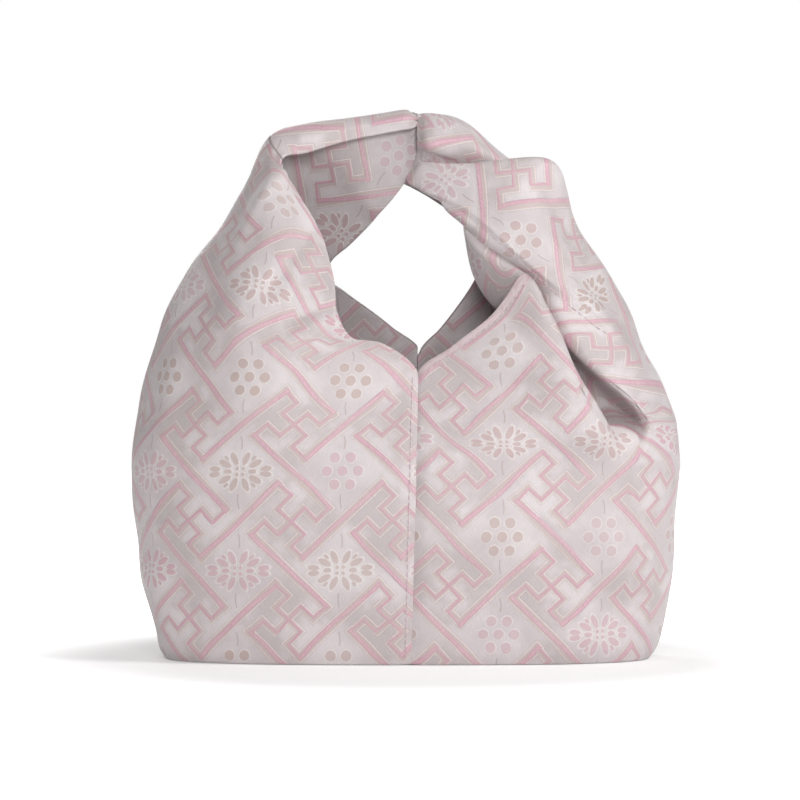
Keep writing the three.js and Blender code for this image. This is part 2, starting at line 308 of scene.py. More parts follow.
def keep_side(points, side):
    """Keeps the cloth on its own side of the centre seam and the handle joint."""
    x, z = points[..., 0], points[..., 2]
    seam = seam_x(z) + side * SEAM_GAP
    joint = joint_x(z) + side * SEAM_GAP
    rise = z - V_HEIGHT
    bound = np.where(rise < BACK_V_RISE + SEAM_REACH, seam, x)
    bound = np.where(rise > JOINT_LOW_RISE - JOINT_REACH, joint, bound)
    points[..., 0] = np.minimum(x, bound) if side < 0 else np.maximum(x, bound)
    return points


def pull_edge(rows, shift, from_end):
    """Moves the edge of the cloth sideways, with the cloth near it following."""
    for i in range(SEAM_EASE):
        column = rows.shape[1] - 1 - i if from_end else i
        rows[:, column, 0] += shift * (1 - i / SEAM_EASE) ** 2


def close_seams(rows):
    """Brings the edges together along the centre seam and along the handle joint."""
    for column, top, from_end in ((0, V_HEIGHT - 1, False), (-1, V_HEIGHT + BACK_V_RISE - 1, True)):
        edge = rows[:, column]
        sewn = 1 - smoothstep(top - 1, top + 1, edge[:, 2])
        pull_edge(rows, (seam_x(edge[:, 2]) - edge[:, 0]) * sewn, from_end)
    end = joint_x(rows[-1, :, 2]) - rows[-1, :, 0]
    for i in range(JOINT_EASE):
        rows[-1 - i, :, 0] += end * (1 - i / JOINT_EASE) ** 2
    return rows


def seam_pucker(rows):
    """Dip of the outer face beside the sewn seams, gathered between the stitches."""
    x, z = rows[..., 0], rows[..., 2]
    centre = np.abs(x - seam_x(z))
    sewn = np.where(rows[..., 1] < 0, z < V_HEIGHT + 2, z < V_HEIGHT + BACK_V_RISE + 2)
    gather = 1 + 0.35 * np.sin(2 * math.pi * z / STITCH_PITCH)
    dip = -1.0 * np.exp(-(centre / 1.5) ** 2) * sewn
    dip -= 0.22 * gather * np.exp(-((centre - 2.8) / 1.2) ** 2) * sewn
    joint = np.abs(x - joint_x(z))
    high = smoothstep(JOINT_LOW_RISE - 14, JOINT_LOW_RISE - 4, z - V_HEIGHT)
    ripple = 1 + 0.3 * np.sin(z * 0.9) * np.exp(-joint / 8)
    return dip - 1.7 * np.exp(-(joint / 2.6) ** 2) * high * ripple


def lower_foot(face):
    """The cloth reaches down over the rim of the base and turns under it."""
    low = 1 - smoothstep(0, 12, face[..., 2])
    face[..., 2] = np.maximum(face[..., 2] - (WALL_START - FOOT) * low, FOOT)
    return face


def cloth_mesh(name, rows, side, pattern_out, pattern_in, puff, hem):
    """Closed wall of cloth: outer face, inner face and rounded edges all round."""
    normals = surface_normals(rows, side)
    tall, wide = rows.shape[:2]
    half = CLOTH / 2
    outer = lower_foot(keep_side(rows + normals * (half + puff[..., None]), side))
    inner = lower_foot(keep_side(rows - normals * half, side))
    places = [outer, inner]
    points = np.concatenate([p.reshape(-1, 3) for p in places])
    coords = np.concatenate([pattern_out.reshape(-1, 2), pattern_in.reshape(-1, 2)])
    hems = np.concatenate([hem.ravel(), hem.ravel()])
    index = np.arange(tall * wide).reshape(tall, wide)
    faces = []

    def add(a, b, c, d):
        quads = np.stack([a, b, c, d], -1).reshape(-1, 4)
        faces.append(quads if side > 0 else quads[:, ::-1])

    o, n = index, index + tall * wide
    add(o[:-1, :-1], o[:-1, 1:], o[1:, 1:], o[1:, :-1])
    add(n[:-1, :-1], n[1:, :-1], n[1:, 1:], n[:-1, 1:])

    # Rim as a closed loop of edge points, with a half round between the two faces
    loop = [(0, i) for i in range(wide - 1)] + [(k, wide - 1) for k in range(tall - 1)]
    loop += [(tall - 1, i) for i in range(wide - 1, 0, -1)] + [(k, 0) for k in range(tall - 1, 0, -1)]
    ks = np.array([a for a, _ in loop])
    cs = np.array([b for _, b in loop])
    top, low = places[0][ks, cs], places[1][ks, cs]
    middle = (top + low) / 2
    step_k = np.where(ks == 0, 1, np.where(ks == tall - 1, -1, 0))
    step_c = np.where(cs == 0, 1, np.where(cs == wide - 1, -1, 0))
    inward = rows[ks + step_k, cs + step_c] - rows[ks, cs]
    outward = -inward / np.maximum(np.linalg.norm(inward, axis=-1, keepdims=True), 1e-9)
    loops = [o[ks, cs]]
    start = len(points)
    for share in (0.25, 0.5, 0.75):
        turn = share * math.pi
        bulge = outward * half * 0.7 * math.sin(turn)
        ring = middle + (top - middle) * math.cos(turn) + bulge
        ring = keep_side(ring, side)
        ring[:, 2] = np.maximum(ring[:, 2], FOOT)
        loops.append(np.arange(start, start + len(ring)))
        start += len(ring)
        points = np.concatenate([points, ring])
        coords = np.concatenate([coords, pattern_out[ks, cs]])
        hems = np.concatenate([hems, hem[ks, cs]])
    loops.append(n[ks, cs])
    for a, b in zip(loops[:-1], loops[1:]):
        add(a, b, np.roll(b, -1), np.roll(a, -1))

    mesh = bpy.data.meshes.new(name)
    mesh.from_pydata((points * MM).tolist(), [], np.concatenate(faces).tolist())
    layer = mesh.uv_layers.new(name="pattern")
    corner = np.empty(len(mesh.loops), dtype=np.int32)
    mesh.loops.foreach_get("vertex_index", corner)
    layer.data.foreach_set("uv", (coords[corner] * MM).astype(np.float32).ravel())
    mesh.attributes.new("hem", "FLOAT", "POINT").data.foreach_set("value", hems.astype(np.float32))
    mesh.shade_smooth()
    mesh.update()
    piece = bpy.data.objects.new(name, mesh)
    bpy.context.scene.collection.objects.link(piece)
    return piece, outer, normals


# Where the woven pattern lies on the cloth: widths along the cloth and heights up it.
# Rows are counted from the base; the left half counts its columns from LEFT_COLUMNS.
PATTERN_WIDTH = 50.0
PATTERN_HEIGHT = 48.0
LEFT_COLUMNS = -10
LEFT_ORIGIN = (-10.5 - LEFT_COLUMNS * PATTERN_WIDTH, -23.5)
RIGHT_ORIGIN = (17.0, -7.0)
BAND_CENTRE = (-39.0, 247.5)
BAND_TURN = math.radians(-36)


def left_pattern(rows):
    """Pattern places on the two faces of the left half; the horn leans as it rises."""
    edge = rows[:, 0]
    lean = 0.00115 * np.maximum(edge[:, 2] - 100, 0) ** 2
    start = edge[:, 0] - seam_x(edge[:, 2]) - lean
    corner = station_row(LEFT_CLIMB, FIRST_STATION + 7)
    start[corner:] = start[corner]
    outer = np.stack([start[:, None] - arc(rows, 1), WALL_START + arc(rows, 0)], -1) - LEFT_ORIGIN
    inner = rows[..., [0, 2]] - np.array(LEFT_ORIGIN)
    band = station_row(LEFT_CLIMB, FIRST_STATION + 5)
    dx = rows[..., 0] - BAND_CENTRE[0]
    dz = rows[..., 2] - BAND_CENTRE[1]
    turned = np.stack([dx * math.cos(BAND_TURN) + dz * math.sin(BAND_TURN),
                       -dx * math.sin(BAND_TURN) + dz * math.cos(BAND_TURN)], -1)
    inner[band:] = turned[band:]
    outer[corner:] = turned[corner:]
    return outer, inner


# Pattern on the middle rail of the strap at each station: along, up, turn in degrees
STRAP_PATTERN = [
    (134, 116, 0), (125, 140, 22), (117, 171, 40), (129, 198, 47), (143, 222, 49.5), (149.5, 237.4, 49.5),
    (151.6, 255, 49.5), (154.3, 270.4, 49.5), (155.4, 284.4, 49.5), (144.2, 305.2, 49.5), (134, 321, 49.5),
]


def right_pattern(rows):
    """Up to the pleat the pattern is counted from the seam; on the strap it turns with it."""
    across = arc(rows, 1)
    along = WALL_START + arc(rows, 0)
    start = rows[:, 0, 0] - seam_x(rows[:, 0, 2])
    plain = start[:, None] + across
    first = station_row(RIGHT_CLIMB, FIRST_STATION)
    row = np.arange(len(rows))[:, None]
    column = np.arange(rows.shape[1])[None, :]
    valley, edge, middle, outer, roll = (
        sum(RIGHT_FINE[:k]) for k in (VALLEY, STRAP_EDGE, STRAP, OUTER, ROLL))

    # Inside the pleat's fold, above the corner of the panel, heights count and not lengths
    inside = smoothstep(station_row(RIGHT_CLIMB, FIRST_STATION + 4),
                        station_row(RIGHT_CLIMB, FIRST_STATION + 5), row)
    along = np.where(column <= valley, along * (1 - inside) + (rows[..., 2] + 12) * inside, along)

    # Past the pleat the count goes on from where it was below it
    past = smoothstep(valley, edge, column)
    beyond = plain[first, middle] + across - across[:, [middle]]
    u = np.where(row > first, plain * (1 - past) + beyond * past, plain)

    # Strap: flat as seen from the front, unrolled past its outer side
    step = np.diff(rows, axis=1)
    flat = np.hypot(step[..., 0], step[..., 1])
    between = np.arange(rows.shape[1] - 1)[None, :]
    step_side = np.where(between < middle, step[..., 0],
                         np.where(between < outer, (step[..., 0] + flat) / 2, flat))
    side = np.concatenate([np.zeros((len(rows), 1)), np.cumsum(step_side, axis=1)], axis=1)
    side -= side[:, [middle]]
    rise = rows[..., 2] - rows[:, [middle], 2]
    field = spline(np.array(STRAP_PATTERN, dtype=float), RIGHT_CLIMB[FIRST_STATION:])
    field = np.concatenate([np.repeat(field[:1], first, axis=0), field])
    turn = np.radians(field[:, 2:])
    strap_u = field[:, :1] + np.cos(turn) * side + np.sin(turn) * rise
    strap_v = field[:, 1:2] - np.sin(turn) * side + np.cos(turn) * rise
    last = rows.shape[1] - 1
    weight = past * (1 - smoothstep(roll, last, column))
    slow = RIGHT_CLIMB[FIRST_STATION] + 36 * smoothstep(outer, roll, column)
    weight = weight * smoothstep(0, 1, (row - first) / slow)
    u = u * (1 - weight) + strap_u * weight
    v = along * (1 - weight) + strap_v * weight
    pattern_out = np.stack([u, v], -1) - np.array(RIGHT_ORIGIN)
    pattern_in = rows[..., [0, 2]] - np.array(RIGHT_ORIGIN)
    return pattern_out, pattern_in


def stitch_mesh(name, spots):
    """Short round-ended threads; each spot is a centre, a direction, an outward normal and a length."""
    sides = 6
    rings = [(-0.5, 0.35), (-0.38, 0.85), (0.0, 1.0), (0.38, 0.85), (0.5, 0.35)]
    verts, faces = [], []
    for centre, direction, normal, length, radius in spots:
        d = direction / np.linalg.norm(direction)
        n = normal - d * np.dot(normal, d)
        n /= np.linalg.norm(n)
        b = np.cross(d, n)
        base = len(verts)
        for share, fat in rings:
            lift = radius * (0.55 - 1.6 * abs(share) ** 2)
            for s in range(sides):
                a = 2 * math.pi * s / sides
                verts.append(centre + d * length * share + n * (lift + radius * fat * math.cos(a))
                             + b * radius * fat * math.sin(a))
        for r in range(len(rings) - 1):
            for s in range(sides):
                t = (s + 1) % sides
                faces.append((base + r * sides + s, base + r * sides + t,
                              base + (r + 1) * sides + t, base + (r + 1) * sides + s))
        faces.append(tuple(base + s for s in reversed(range(sides))))
        faces.append(tuple(base + (len(rings) - 1) * sides + s for s in range(sides)))
    mesh = bpy.data.meshes.new(name)
    mesh.from_pydata((np.array(verts) * MM).tolist(), [], faces)
    mesh.shade_smooth()
    piece = bpy.data.objects.new(name, mesh)
    bpy.context.scene.collection.objects.link(piece)
    return piece


# Surfaces of the two halves
left_rows = half_rows(-1, LEFT_TURNS, LEFT_FINE, LEFT_STATIONS, LEFT_CLIMB)
right_rows = half_rows(1, RIGHT_TURNS, RIGHT_FINE, RIGHT_STATIONS, RIGHT_CLIMB)
left_out, left_in = left_pattern(left_rows)
right_out, right_in = right_pattern(right_rows)


def soften(rows, side, creases, seed):
    normals = surface_normals(rows, side)
    rise = crease_height(rows, normals, creases) + slack(rows, seed)
    calm = smoothstep(0, CALM_FOOT, rows[..., 2])
    calm = calm * smoothstep(0, CALM_SEAM, np.abs(rows[..., 0] - CALM_CENTRE))
    joint = rows[..., 0] - joint_x(rows[..., 2])
    high = smoothstep(JOINT_LOW_RISE - 6, JOINT_LOW_RISE + 8, rows[..., 2] - V_HEIGHT)
    notch = -NOTCH_DEPTH * np.exp(-(joint / NOTCH_WIDTH) ** 2) * high
    return close_seams(rows + normals * (rise * calm + notch)[..., None])


left_rows = soften(left_rows, -1, LEFT_CREASES, 3)
right_rows = soften(right_rows, 1, RIGHT_CREASES, 8)


def strap_seam_relief(rows):
    """Raised edge of the strap's seam, the groove of its stitches and the lower band beside it."""
    column = np.arange(rows.shape[1])
    first, last = (sum(RIGHT_FINE[:k]) for k in (VALLEY, OUTER))
    on_strap = ((column >= first) & (column <= last))[None, :]
    gap, share = seam_distance(rows, STRAP_SEAM)
    near = smoothstep(0.0, 0.06, share) * (1 - smoothstep(0.78, 1.0, share)) * on_strap
    edge = 0.95 * np.exp(-((gap - 1.6) / 1.2) ** 2)
    groove = -0.95 * np.exp(-(gap / 0.9) ** 2)
    roll = 0.7 * np.exp(-((gap + 2.4) / 1.5) ** 2) * (1 - smoothstep(0.3, 0.45, share))
    band = -smoothstep(-0.4, -2.0, gap) * np.exp(np.minimum(gap, 0) / 10) * smoothstep(0.3, 0.45, share)
    return near * (edge + groove + roll + band)


# Millimetres from the turned hem of the front panel, far off where there is none
NO_HEM = 50.0
HEM_WIDTH = 4.2
hem_left = np.full(left_rows.shape[:2], NO_HEM)
hem_right = np.full(right_rows.shape[:2], NO_HEM)
hem_first = station_row(RIGHT_CLIMB, FIRST_STATION + 1)
hem_last = station_row(RIGHT_CLIMB, FIRST_STATION + 4) + 1
hem_right[hem_first:hem_last] = arc(right_rows, 1)[hem_first:hem_last]

left_puff = seam_pucker(left_rows)
right_puff = seam_pucker(right_rows) + strap_seam_relief(right_rows)
right_puff -= 0.35 * np.exp(-((hem_right - HEM_WIDTH) / 0.8) ** 2)

left_cloth, left_face, left_normals = cloth_mesh(
    "left_cloth", left_rows, -1, left_out, left_in, left_puff, hem_left)
right_cloth, right_face, right_normals = cloth_mesh(
    "right_cloth", right_rows, 1, right_out, right_in, right_puff, hem_right)


# Materials
def linear(red, green, blue):
    """Linear colour of three values from 0 to 255."""
    return [((c / 255 + 0.055) / 1.055) ** 2.4 for c in (red, green, blue)] + [1.0]


class Nodes:
    """Short names for the shader nodes that draw the weave."""

    def __init__(self, name):
        self.material = bpy.data.materials.new(name)
        self.material.use_nodes = True
        self.tree = self.material.node_tree
        self.shader = self.tree.nodes["Principled BSDF"]

    def link(self, value, socket):
        if isinstance(value, bpy.types.NodeSocket):
            self.tree.links.new(value, socket)
        else:
            socket.default_value = value

    def math(self, operation, *values, clamp=False):
        node = self.tree.nodes.new("ShaderNodeMath")
        node.operation = operation
        node.use_clamp = clamp
        for value, socket in zip(values, node.inputs):
            self.link(value, socket)
        return node.outputs[0]

    def add(self, a, b):
        return self.math("ADD", a, b)

    def sub(self, a, b):
        return self.math("SUBTRACT", a, b)

    def mul(self, a, b):
        return self.math("MULTIPLY", a, b)

    def low(self, first, *rest):
        for value in rest:
            first = self.math("MINIMUM", first, value)
        return first

    def high(self, a, b):
        return self.math("MAXIMUM", a, b)

    def size(self, a):
        return self.math("ABSOLUTE", a)

    def ramp(self, value, start, end):
        """0 at start, 1 at end, smooth between; start may be the larger."""
        node = self.tree.nodes.new("ShaderNodeMapRange")
        node.interpolation_type = "SMOOTHSTEP"
        flip = start > end
        low, high = min(start, end), max(start, end)
        self.link(value, node.inputs["Value"])
        node.inputs["From Min"].default_value = low
        node.inputs["From Max"].default_value = high
        node.inputs["To Min"].default_value = 1.0 if flip else 0.0
        node.inputs["To Max"].default_value = 0.0 if flip else 1.0
        return node.outputs["Result"]

    def vector(self, x, y, z=0.0):
        node = self.tree.nodes.new("ShaderNodeCombineXYZ")
        for value, socket in zip((x, y, z), node.inputs):
            self.link(value, socket)
        return node.outputs[0]

    def noise(self, vector, scale, detail=2.0, rough=0.5):
        node = self.tree.nodes.new("ShaderNodeTexNoise")
        self.link(vector, node.inputs["Vector"])
        node.inputs["Scale"].default_value = scale
        node.inputs["Detail"].default_value = detail
        node.inputs["Roughness"].default_value = rough
        return node.outputs["Fac"]

    def cell(self, vector):
        node = self.tree.nodes.new("ShaderNodeTexWhiteNoise")
        node.noise_dimensions = "2D"
        self.link(vector, node.inputs["Vector"])
        return node.outputs["Value"]

    def mix(self, share, a, b, blend="MIX"):
        node = self.tree.nodes.new("ShaderNodeMix")
        node.data_type = "RGBA"
        node.blend_type = blend
        self.link(share, node.inputs["Factor"])
        self.link(a, node.inputs["A"])
        self.link(b, node.inputs["B"])
        return node.outputs["Result"]

    def attribute(self, name):
        node = self.tree.nodes.new("ShaderNodeAttribute")
        node.attribute_name = name
        return node.outputs["Fac"]

    def uv(self):
        node = self.tree.nodes.new("ShaderNodeUVMap")
        node.uv_map = "pattern"
        split = self.tree.nodes.new("ShaderNodeSeparateXYZ")
        self.tree.links.new(node.outputs["UV"], split.inputs[0])
        return node.outputs["UV"], self.mul(split.outputs[0], 1000.0), self.mul(split.outputs[1], 1000.0)


# Step of the key fret, the colours of the threads, and the colours of painted sheen and shade
UNIT = 8.66
GROUND_DARK = linear(203, 193, 194)
GROUND_LIGHT = linear(217, 209, 210)
# Darker ground of the corridors: a painted sheen difference of the satin
CORRIDOR_SHEEN = linear(190, 180, 180)
BEIGE = linear(198, 180, 176)
CREAM = linear(227, 216, 211)
PINK = linear(205, 162, 176)
# Painted shadow colour of the thin dark line beside the raised fret threads
FRET_SHADOW = linear(178, 160, 160)
HEM = linear(211, 190, 193)
PINK_LIGHT = linear(220, 185, 195)
FLOWER_BEIGE = linear(190, 168, 162)
FLOWER_PINK = linear(205, 164, 174)
WHITE_THREAD = linear(230, 223, 221)
# Colour of the flower stems, also used as painted shade in the groove along the hem
STEM_AND_GROOVE_SHADE = linear(170, 146, 144)


def fret_distance(g, u, v):
    """Millimetres from the nearest line of the key fret."""
    px = g.math("DIVIDE", u, PATTERN_WIDTH)
    py = g.math("DIVIDE", v, PATTERN_HEIGHT)
    px = g.sub(px, g.math("ROUND", px))
    py = g.sub(py, g.math("ROUND", py))
    a = g.mul(g.sub(px, py), 4.0)
    b = g.mul(g.add(px, py), 4.0)
    turned = g.math("LESS_THAN", g.mul(a, b), 0.0)
    a, b = g.size(a), g.size(b)
    swap = g.mul(turned, g.sub(b, a))
    a, b = g.add(a, swap), g.sub(b, swap)

    def stroke(along, across, start, end, place):
        reach = g.sub(g.size(g.sub(along, (start + end) / 2)), (end - start) / 2)
        return g.high(reach, g.size(g.sub(across, place)))

    inner = [stroke(a, b, 0, 1, 0), stroke(b, a, 0, 1, 0), stroke(a, b, 0, 1, 1), stroke(b, a, 1, 2, 1)]
    outer = g.low(stroke(a, b, -1, 1, 2), stroke(b, a, -1, 2, 2))
    # The inner arms are drawn finer than the long outer ones
    line = g.low(g.add(g.mul(g.low(*inner), UNIT), 0.45), g.mul(outer, UNIT))
    return line, g.high(a, b)


def disc_flower(g, x, y):
    """Middle disc and six round it: distance from the nearest rim, below 0 inside."""
    radius = g.math("SQRT", g.add(g.mul(x, x), g.mul(y, y)))
    angle = g.math("ARCTAN2", y, x)
    sector = math.pi / 3
    angle = g.sub(angle, g.mul(g.math("ROUND", g.math("DIVIDE", angle, sector)), sector))
    ox = g.sub(g.mul(radius, g.math("COSINE", angle)), 7.6)
    oy = g.mul(radius, g.math("SINE", angle))
    ring = g.math("SQRT", g.add(g.mul(ox, ox), g.mul(oy, oy)))
    return g.sub(g.low(radius, ring), 2.6)


def petal_flower(g, x, y):
    """Eight petals and small rings, the same in all four quarters."""
    x, y = g.size(x), g.size(y)

    def petal(angle, middle, half_length, half_width):
        c, s = math.cos(math.radians(angle)), math.sin(math.radians(angle))
        along = g.math("DIVIDE", g.sub(g.add(g.mul(x, c), g.mul(y, s)), middle), half_length)
        across = g.math("DIVIDE", g.sub(g.mul(y, c), g.mul(x, s)), half_width)
        reach = g.math("SQRT", g.add(g.mul(along, along), g.mul(across, across)))
        return g.mul(g.sub(reach, 1.0), half_width)

    return g.low(petal(65, 7.0, 3.7, 1.6), petal(27, 8.6, 3.6, 1.65), petal(6, 13.0, 3.0, 1.45),
                 petal(44, 9.6, 1.7, 0.9), petal(45, 2.1, 1.05, 1.0), petal(2, 6.2, 2.2, 1.0))


def flower_kind(g, column, row):
    """1 for petals, 0 for discs. Rows take turns, with the few that differ."""
    def same(value, number):
        return g.math("COMPARE", value, float(number), 0.5)

    even = g.math("LESS_THAN", g.math("PINGPONG", row, 1.0), 0.5)
    bottom = same(row, 0)
    kind = g.mul(even, g.sub(1.0, bottom))
    kind = g.high(kind, g.mul(bottom, same(column, 1)))
    kind = g.high(kind, same(row, -1))
    left = g.math("LESS_THAN", column, LEFT_COLUMNS / 2)
    kind = g.high(kind, g.mul(left, same(row, 1)))
    return g.mul(kind, g.sub(1.0, g.mul(same(column, LEFT_COLUMNS - 1), same(row, 2))))


def brocade(name):
    g = Nodes(name)
    uv, u, v = g.uv()
    place = g.vector(u, v)

    # The pink thread wanders a little beside the beige one
    drift_u = g.mul(g.sub(g.noise(place, 0.021, 1.0), 0.5), 7.0)
    drift_v = g.mul(g.sub(g.noise(g.vector(g.add(u, 211.0), v), 0.024, 1.0), 0.5), 7.0)
    wide, _ = fret_distance(g, u, v)
    pink, depth = fret_distance(g, g.add(u, drift_u), g.add(v, drift_v))

    # Flowers stand between the frets
    fx = g.sub(g.math("DIVIDE", u, PATTERN_WIDTH), 0.5)
    fy = g.sub(g.math("DIVIDE", v, PATTERN_HEIGHT), 0.5)
    column, row = g.math("ROUND", fx), g.math("ROUND", fy)
    x = g.mul(g.sub(fx, column), PATTERN_WIDTH)
    y = g.mul(g.sub(fy, row), PATTERN_HEIGHT)
    kind = flower_kind(g, column, row)
    chance = g.cell(g.vector(column, row))
    chance2 = g.cell(g.vector(g.add(column, 17.0), row))
    discs = disc_flower(g, x, y)
    petals = petal_flower(g, x, y)
    flower = g.add(g.mul(kind, petals), g.mul(g.sub(1.0, kind), discs))
    stem_x = g.size(g.add(x, g.mul(g.math("SINE", g.mul(y, 0.35)), 0.7)))
    stem = g.high(stem_x, g.sub(g.size(g.sub(g.size(y), 14.5)), 3.2))

    # Threads: fine upright grain and the cross threads
    grain = g.noise(g.vector(g.mul(u, 3.4), g.mul(v, 0.30)), 1.0, 3.0, 0.6)
    cross = g.noise(g.vector(g.mul(u, 0.5), g.mul(v, 4.4)), 1.0, 2.0, 0.6)
    cloud = g.noise(g.vector(u, v), 0.035, 3.0, 0.55)
    ragged = g.mul(g.sub(g.noise(g.vector(g.mul(u, 1.6), g.mul(v, 1.6)), 1.0, 2.0), 0.5), 0.8)
    wide = g.add(wide, ragged)
    pink = g.add(pink, ragged)
    flower_rim = g.add(flower, g.mul(ragged, 0.9))

    ground = g.mix(g.ramp(cloud, 0.35, 0.68), GROUND_DARK, GROUND_LIGHT)
    # Painted sheen: the satin ground is drawn darker in the narrow corridors between the fret lines, in
    # random patches
    corridor_sheen = g.mul(g.ramp(depth, 2.3, 1.6), g.ramp(cloud, 0.60, 0.42))
    ground = g.mix(g.mul(corridor_sheen, 0.7), ground, CORRIDOR_SHEEN)
    # Painted shadow: a thin dark line just outside the raised beige fret thread
    fret_shadow = g.ramp(g.size(g.sub(wide, 2.55)), 0.35, 0.1)
    colour = g.mix(g.mul(fret_shadow, 0.35), ground, FRET_SHADOW)
    colour = g.mix(g.mul(g.ramp(wide, 2.1, 1.7), 0.75), colour, BEIGE)
    rim = g.ramp(g.size(g.sub(wide, 2.1)), 0.4, 0.12)
    colour = g.mix(g.mul(rim, 0.65), colour, CREAM)
    worn = g.add(0.6, g.mul(g.ramp(cloud, 0.3, 0.7), 0.4))
    colour = g.mix(g.mul(g.ramp(pink, 1.2, 0.95), worn), colour, PINK)
    core = g.mul(g.ramp(pink, 0.65, 0.3), g.ramp(grain, 0.36, 0.60))
    colour = g.mix(g.mul(core, 0.85), colour, PINK_LIGHT)

    flower_ink = g.mix(g.ramp(chance, 0.45, 0.75), FLOWER_BEIGE, FLOWER_PINK)
    shown = g.add(0.45, g.mul(chance2, 0.5))
    inside = g.mul(g.ramp(flower_rim, 0.1, -0.25), shown)
    colour = g.mix(g.mul(inside, g.add(0.6, g.mul(grain, 0.6))), colour, flower_ink)
    halo = g.ramp(g.size(g.sub(flower_rim, 0.15)), 0.4, 0.1)
    colour = g.mix(g.mul(halo, 0.6), colour, WHITE_THREAD)
    colour = g.mix(g.mul(g.ramp(stem, 0.4, 0.15), 0.55), colour, STEM_AND_GROOVE_SHADE)
    hem = g.attribute("hem")
    colour = g.mix(g.mul(g.ramp(hem, 4.3, 3.9), 0.7), colour, HEM)
    # Painted shade: a dark line in the groove along the hem's stitches, in the stem colour
    colour = g.mix(g.mul(g.ramp(g.size(g.sub(hem, 4.2)), 0.5, 0.15), 0.45), colour, STEM_AND_GROOVE_SHADE)
    shade = g.add(0.97, g.mul(g.sub(grain, 0.5), 0.26))
    shade = g.add(shade, g.mul(g.sub(cross, 0.5), 0.12))
    colour = g.mix(1.0, colour, g.vector(shade, shade, shade), "MULTIPLY")
    g.link(colour, g.shader.inputs["Base Color"])

    rise = g.add(g.mul(g.ramp(wide, 2.4, 1.8), 0.12), g.mul(g.ramp(pink, 1.3, 0.7), 0.10))
    rise = g.add(rise, g.mul(g.ramp(flower_rim, 0.3, -0.3), 0.18))
    rise = g.add(rise, g.mul(g.ramp(stem, 0.6, 0.2), 0.06))
    rise = g.add(rise, g.add(g.mul(grain, 0.16), g.mul(cross, 0.10)))
    rise = g.add(rise, g.mul(g.noise(place, 0.11, 2.0), 0.35))
    bump = g.tree.nodes.new("ShaderNodeBump")
    bump.inputs["Strength"].default_value = 0.9
    bump.inputs["Distance"].default_value = 0.001
    g.link(rise, bump.inputs["Height"])
    g.tree.links.new(bump.outputs["Normal"], g.shader.inputs["Normal"])

    rough = g.add(0.46, g.mul(g.ramp(pink, 1.2, 0.8), -0.06))
    rough = g.add(rough, g.mul(g.sub(grain, 0.5), 0.2))
    g.link(rough, g.shader.inputs["Roughness"])
    g.shader.inputs["Specular IOR Level"].default_value = 0.45
    g.shader.inputs["Sheen Weight"].default_value = 0.2
    g.shader.inputs["Sheen Roughness"].default_value = 0.45
    return g.material


def plain_weave(name, dark, light, scale):
    """Plain woven cloth or felt without a figure."""
    g = Nodes(name)
    coords = g.tree.nodes.new("ShaderNodeTexCoord")
    cloud = g.noise(coords.outputs["Object"], scale * 40, 3.0)
    fine = g.noise(coords.outputs["Object"], scale * 1400, 2.0)
    colour = g.mix(g.ramp(g.add(g.mul(cloud, 0.5), g.mul(fine, 0.5)), 0.35, 0.65), dark, light)
    g.link(colour, g.shader.inputs["Base Color"])
    bump = g.tree.nodes.new("ShaderNodeBump")
    bump.inputs["Strength"].default_value = 0.5
    bump.inputs["Distance"].default_value = 0.0005
    g.link(fine, bump.inputs["Height"])
    g.tree.links.new(bump.outputs["Normal"], g.shader.inputs["Normal"])
    g.link(g.add(0.6, g.mul(fine, 0.2)), g.shader.inputs["Roughness"])
    g.shader.inputs["Sheen Weight"].default_value = 0.15
    return g.material


cloth_look = brocade("brocade")
base_look = plain_weave("base_cloth", linear(196, 182, 188), linear(216, 204, 209), 1.0)
board_look = plain_weave("board", linear(178, 164, 160), linear(196, 184, 180), 1.0)
thread_look = plain_weave("thread", linear(196, 172, 180), linear(222, 204, 210), 2.0)

for piece in (left_cloth, right_cloth):
    piece.data.materials.append(cloth_look)
    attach(piece, "root")
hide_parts("left_panel")
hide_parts("right_panel")


# Base cloth with a soft rim
def base_cloth():
    foot = BODY[0]
    steps = [40]
    left = body_row(foot, -1, [0, 2], steps)[:-1]
    right = body_row(foot, 1, [0, 2], steps)[:0:-1]
    ring = np.concatenate([left, right])
    profile = [(-3.6, 0.0), (-2.7, 0.35), (-2.2, 1.0), (-2.7, 1.65), (-3.6, 2.0)]
    verts, faces = [], []
    for margin, z in profile:
        scale = np.array([(foot[1] + margin) / foot[1], (foot[3] + margin) / foot[3], 1])
        row = ring * scale
        row[:, 2] = z
        verts.append(row)
    count = len(ring)
    points = np.concatenate(verts)
    for r in range(len(profile) - 1):
        for i in range(count):
            j = (i + 1) % count
            faces.append((r * count + i, (r + 1) * count + i, (r + 1) * count + j, r * count + j))
    faces.append(tuple(range(count)))
    last = (len(profile) - 1) * count
    faces.append(tuple(last + i for i in reversed(range(count))))
    mesh = bpy.data.meshes.new("base_cloth")
    mesh.from_pydata((points * MM).tolist(), [], faces)
    piece = bpy.data.objects.new("base_cloth", mesh)
    bpy.context.scene.collection.objects.link(piece)
    return piece


base = base_cloth()
base.data.materials.append(base_look)
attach(base, "root")
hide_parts("base_panel")

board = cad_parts["base_board"]
board = board if isinstance(board, bpy.types.Object) else bpy.data.objects["base_board"]
for slot in board.material_slots:
    slot.material = board_look


# Stitches
STITCH_LENGTH = 2.7
STITCH_RADIUS = 0.33


